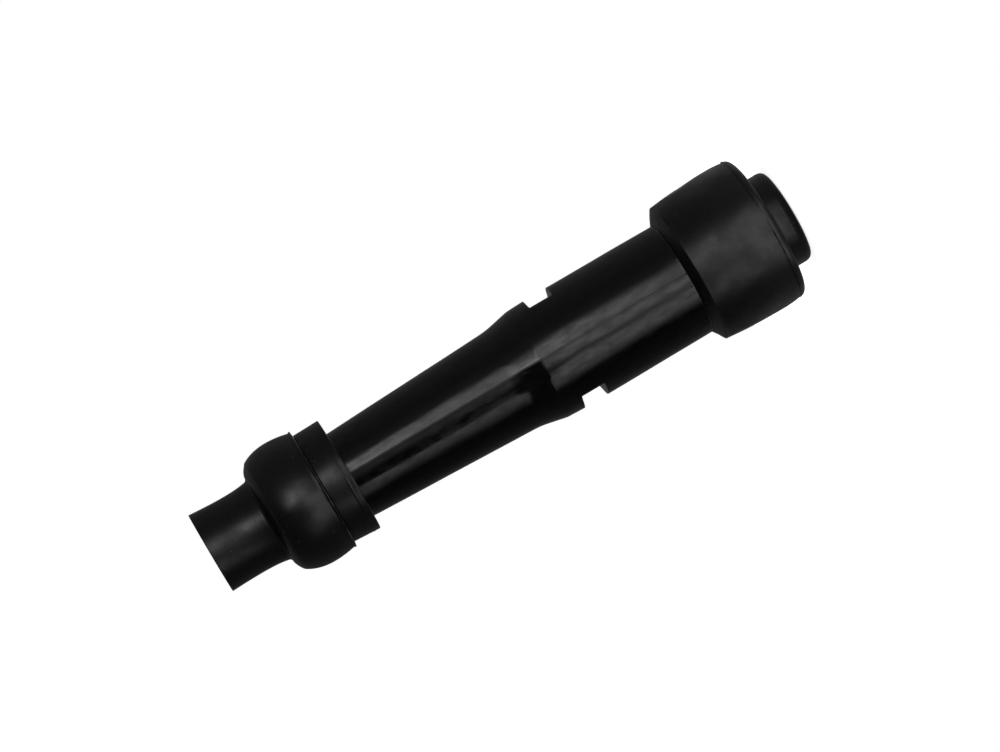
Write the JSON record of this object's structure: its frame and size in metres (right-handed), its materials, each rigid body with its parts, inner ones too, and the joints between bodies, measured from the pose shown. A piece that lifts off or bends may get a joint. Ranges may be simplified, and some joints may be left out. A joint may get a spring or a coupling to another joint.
{
  "type": "spark plug cap",
  "caption": "Straight resistor spark plug cap: glossy black moulded housing with a rubber boot at the plug end and a rubber seal at the cable end.",
  "frame": {"origin": "middle of the flat end of the plug boot's neck, where the cap stands", "axes": "+Z along the cap's axis from the plug's end to the cable's end; the housing's notches face +X and -X"},
  "size_m": [0.0222, 0.0222, 0.094],
  "materials": {
    "housing_phenolic": "glossy black moulded phenolic",
    "black_rubber": "satin black moulded rubber",
    "brass": "turned brass",
    "steel_wire": "drawn spring steel wire",
    "plated_metal": "pressed and tin plated",
    "resistor_ceramic": "unglazed fired ceramic"
  },
  "bodies": {
    "root": {"housing": "housing_phenolic", "plug_boot": "black_rubber", "cable_seal": "black_rubber", "plug_terminal": "brass", "terminal_clip": "steel_wire", "contact_spring": "steel_wire", "resistor_cap_lower": "plated_metal", "resistor_core": "resistor_ceramic", "resistor_cap_upper": "plated_metal", "contact_disc": "brass", "cable_screw": "brass"}
  },
  "joints": []
}
